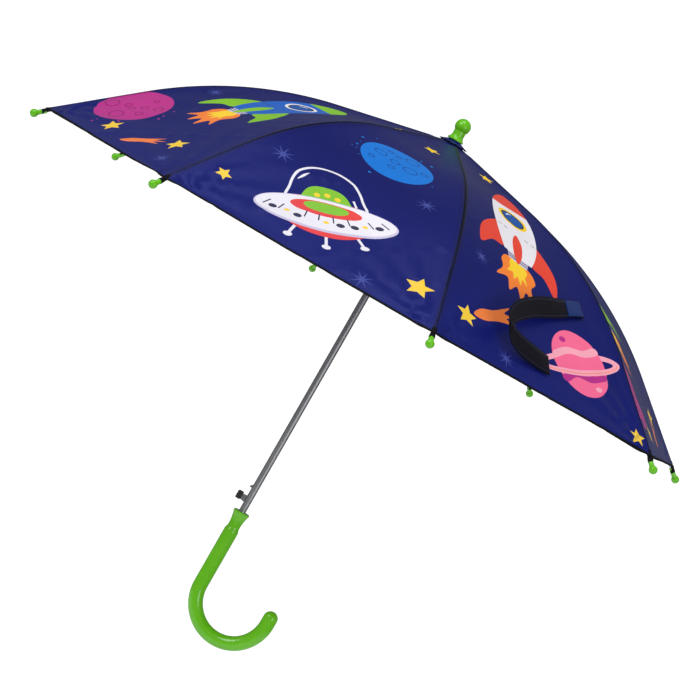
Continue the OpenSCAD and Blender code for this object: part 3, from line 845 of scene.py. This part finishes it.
def ribbon(name, frames, width, thick, shift, material):
    half, t = width / 2 * mm, thick / 2 * mm
    below = [(-1, -0.4), (-0.97, -1), (-0.5, -1), (0, -1), (0.5, -1), (0.97, -1), (1, -0.4)]
    outline = [(half * x, t * y) for x, y in below] + [(half * x, -t * y) for x, y in reversed(below)]
    n = len(outline)
    verts = [m + a * x + b * (y + shift * mm) for m, a, b in frames for x, y in outline]
    obj = newObject(name, verts, ringFaces(len(frames), n) + endCaps(len(frames), n), material)
    mesh = obj.data
    layer = mesh.uv_layers.new(name="cut")
    run = [0.0]
    for p, q in zip(frames, frames[1:]):
        run.append(run[-1] + (q[0] - p[0]).length)
    for loop in mesh.loops:
        i, j = divmod(loop.vertex_index, n)
        layer.data[loop.index].uv = (outline[j][0], run[i])
    turnOutward(mesh)
    return obj, run[-1]


def makeWebbing():
    m, tree, shader = newMaterial("webbing", roughness=0.62, sheen=0.04, sheenRoughness=0.4, specular=0.12)
    cut = textureSpace(tree, "cut")
    cells = place(tree, weave, vector=cut, thread=0.0011)
    across, along, _ = separated(tree, cut)
    row = place(tree, stitchRow, across=across, along=along, offset=0.0072, length=0.0034)
    base = blendColour(tree, cells.outputs["Shade"], (0.0006, 0.0006, 0.003), (0.003, 0.003, 0.012))
    tree.links.new(blendColour(tree, row.outputs["Mask"], base, (0.03, 0.03, 0.09)), shader.inputs["Base Color"])
    height = calc(tree, "ADD", cells.outputs["Height"], calc(tree, "MULTIPLY", row.outputs["Mask"], 1.5))
    bumped(tree, shader, height, 0.00025)
    return m


def makeLoopPile(name, colour):
    m, tree, shader = newMaterial(name, roughness=0.85, sheen=0.06, sheenRoughness=0.5, specular=0.12)
    pile = noiseOf(tree, textureSpace(tree, "cut"), 1400.0, 3.0, 0.7)
    tree.links.new(blendColour(tree, pile, shaded(colour, 0.3), colour), shader.inputs["Base Color"])
    bumped(tree, shader, pile, 0.0006)
    return m


strapFrame = strapFrames(strap)
band, bandLength = ribbon("tieStrap", strapFrame, strap["width"], strap["thick"], 0.0, makeWebbing())
patchTop, patchLow = (
    ribbon(name, part, strap["width"] - strap["patchInset"], strap["patchThick"], strap["patchShift"], pile)[0]
    for name, part, pile in (("strapPatchTop", strapFrame[1:12], makeLoopPile("hookPile", strap["patch"])),
                             ("strapPatchLow", strapFrame[-10:-3], makeLoopPile("loopPile", strap["lowPatch"]))))
for piece in (band, patchTop, patchLow):
    foldWith(piece, 7)
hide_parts("tie_strap")
print("strap sewn")

# hard pieces keep the frame's shapes and get their finish here


def glossPlastic(name, dark, light, scale=26.0, rough=0.2, coat=0.35):
    m, tree, shader = newMaterial(name, roughness=rough, coat=coat, coatRoughness=0.06, ior=1.5,
                                  subsurface=0.08, subsurfaceScale=0.004)
    marks = place(tree, scuff, vector=textureSpace(tree, "object"), scale=scale, amount=1.0)
    tree.links.new(blendColour(tree, marks.outputs["Mask"], dark, light), shader.inputs["Base Color"])
    tree.links.new(spread(tree, marks.outputs["Mask"], rough - 0.05, rough + 0.12), shader.inputs["Roughness"])
    bumped(tree, shader, marks.outputs["Height"], 0.00002, 0.5)
    return m


def drawnSteel(name, dark, light, rough=0.3, stretch=40.0):
    m, tree, shader = newMaterial(name, metallic=1.0, roughness=rough)
    where = textureSpace(tree, "object")
    marks = place(tree, drawnMarks, vector=where, stretch=stretch)
    wear = place(tree, scuff, vector=where, scale=18.0, amount=1.0)
    both = calc(tree, "MULTIPLY_ADD", marks.outputs["Mask"], 0.6, calc(tree, "MULTIPLY", wear.outputs["Mask"], 0.4))
    tree.links.new(blendColour(tree, both, dark, light), shader.inputs["Base Color"])
    tree.links.new(spread(tree, both, rough - 0.1, rough + 0.18), shader.inputs["Roughness"])
    bumped(tree, shader, marks.outputs["Mask"], 0.00003, 0.6)
    return m


finishes = dict(
    limePlastic=glossPlastic("limePlastic", (0.085, 0.4, 0.0), (0.15, 0.55, 0.0)),
    blackPlastic=glossPlastic("blackPlastic", (0.008, 0.008, 0.01), (0.025, 0.025, 0.03), 60.0, 0.42, 0.0),
    greyPlastic=glossPlastic("greyPlastic", (0.42, 0.43, 0.45), (0.6, 0.61, 0.63), 50.0, 0.38, 0.0),
    shaftSteel=drawnSteel("shaftSteel", (0.34, 0.35, 0.365), (0.58, 0.59, 0.61), 0.36),
    ribSteel=drawnSteel("ribSteel", (0.42, 0.43, 0.45), (0.66, 0.67, 0.69), 0.28, 20.0),
    smallSteel=drawnSteel("smallSteel", (0.4, 0.41, 0.43), (0.6, 0.61, 0.63), 0.25, 10.0))


ownFinish = {"shaft_tube": "shaftSteel", "runner": "blackPlastic", "button_cap": "blackPlastic",
             "notch": "greyPlastic", "handle": "limePlastic", "ferrule": "limePlastic"}


def finishOf(name):
    if name.startswith(("rib_", "stretcher_")):
        return "ribSteel"
    return "limePlastic" if name.startswith("tip_") else ownFinish.get(name, "smallSteel")


for name, node in nodes.items():
    node.data.materials.clear()
    node.data.materials.append(finishes[finishOf(name)])

# seat is the end that stays in place, 0 the low one and 1 the high one
coils = dict(
    opening=dict(node="opening_spring", name="openingSpringWire", body="shaft", axis=(0, 0, 1),
                 joint="rib_1_hinge", keep=0.11, seat=0, turns=40, wire=0.00045),
    catch=dict(node="catch_spring", name="catchSpringWire", body="shaft", axis=(1, 0, 0),
               joint="release_press", keep=0.3, seat=1, turns=5, wire=0.00026))


def makeCoil(c):  # a wound wire that fills the same room as the frame's own spring
    corners = np.array([nodes[c["node"]].matrix_world @ v.co for v in nodes[c["node"]].data.vertices])
    low, high = corners.min(0), corners.max(0)
    wire, perTurn = c["wire"], 16
    steps = c["turns"] * perTurn
    along = c["axis"].index(1)
    side = [i for i in range(3) if i != along]
    mid, radius = (low + high) / 2, (high[side[0]] - low[side[0]]) / 2 - wire / 2
    path, ups = [], []
    for i in range(steps + 1):
        a = 2 * math.pi * i / perTurn
        p = mid.copy()
        p[along] = low[along] + wire / 2 + (high[along] - low[along] - wire) * i / steps
        p[side[0]] += radius * math.cos(a)
        p[side[1]] += radius * math.sin(a)
        out = np.zeros(3)
        out[side[0]], out[side[1]] = math.cos(a), math.sin(a)
        path.append(Vector(p))
        ups.append(Vector(out))
    obj = tube(c["name"], path, ups, loopOf(wire / 2, wire / 2, 6), finishes["smallSteel"])
    anchor = list(mid)
    anchor[along] = (low, high)[c["seat"]][along]
    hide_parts(c["node"])
    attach(obj, c["body"])
    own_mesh(obj)


for coil in coils.values():
    makeCoil(coil)
print("finishes set")

# floor and light; the surroundings have one brightness as diffuse light, one in reflections, and a backdrop
# that adds to both where the camera sees them
studio = dict(floorZ=-1.1, floorRadius=3.4, floorGrey=0.86, backdrop=0.4, ambient=0.74, mirrored=0.18)


def makeStudio(s):
    mesh = bpy.data.meshes.new("floor")
    b = bmesh.new()
    bmesh.ops.create_circle(b, cap_ends=True, segments=96, radius=s["floorRadius"])
    b.to_mesh(mesh)
    b.free()
    paint, _, _ = newMaterial("floorPaint", roughness=0.9, baseColour=(*[s["floorGrey"]] * 3, 1))
    mesh.materials.append(paint)
    floor = bpy.data.objects.new("floor", mesh)
    floor.location.z = s["floorZ"]
    bpy.context.scene.collection.objects.link(floor)
    world = bpy.data.worlds.new("studio")
    world.use_nodes = True
    bpy.context.scene.world = world
    sky, background = world.node_tree, world.node_tree.nodes["Background"]
    ray = sky.nodes.new("ShaderNodeLightPath")
    lit = calc(sky, "MULTIPLY_ADD", ray.outputs["Is Glossy Ray"], s["mirrored"] - s["ambient"], s["ambient"])
    seen = calc(sky, "MULTIPLY_ADD", ray.outputs["Is Camera Ray"], s["backdrop"], lit)
    background.inputs[0].default_value = (1, 1, 1, 1)
    sky.links.new(seen, background.inputs[1])


def softBox(name, at, aim, size, power):
    data = bpy.data.lights.new(name, "AREA")
    data.shape, data.size, data.energy = "SQUARE", size, power
    lamp = bpy.data.objects.new(name, data)
    lamp.location = at
    lamp.rotation_mode = "QUATERNION"
    lamp.rotation_quaternion = (Vector(aim) - Vector(at)).to_track_quat("-Z", "Y")
    bpy.context.scene.collection.objects.link(lamp)


makeStudio(studio)
softBox("keyLight", (-1.4, -1.9, 1.6), (0, 0, 0.3), 1.1, 22)
softBox("fillLight", (2.0, -1.5, 0.6), (0, 0, 0.25), 1.2, 12)
softBox("topLight", (-0.3, -0.8, 2.3), (0, 0, 0.4), 1.2, 13)
print("studio lit")
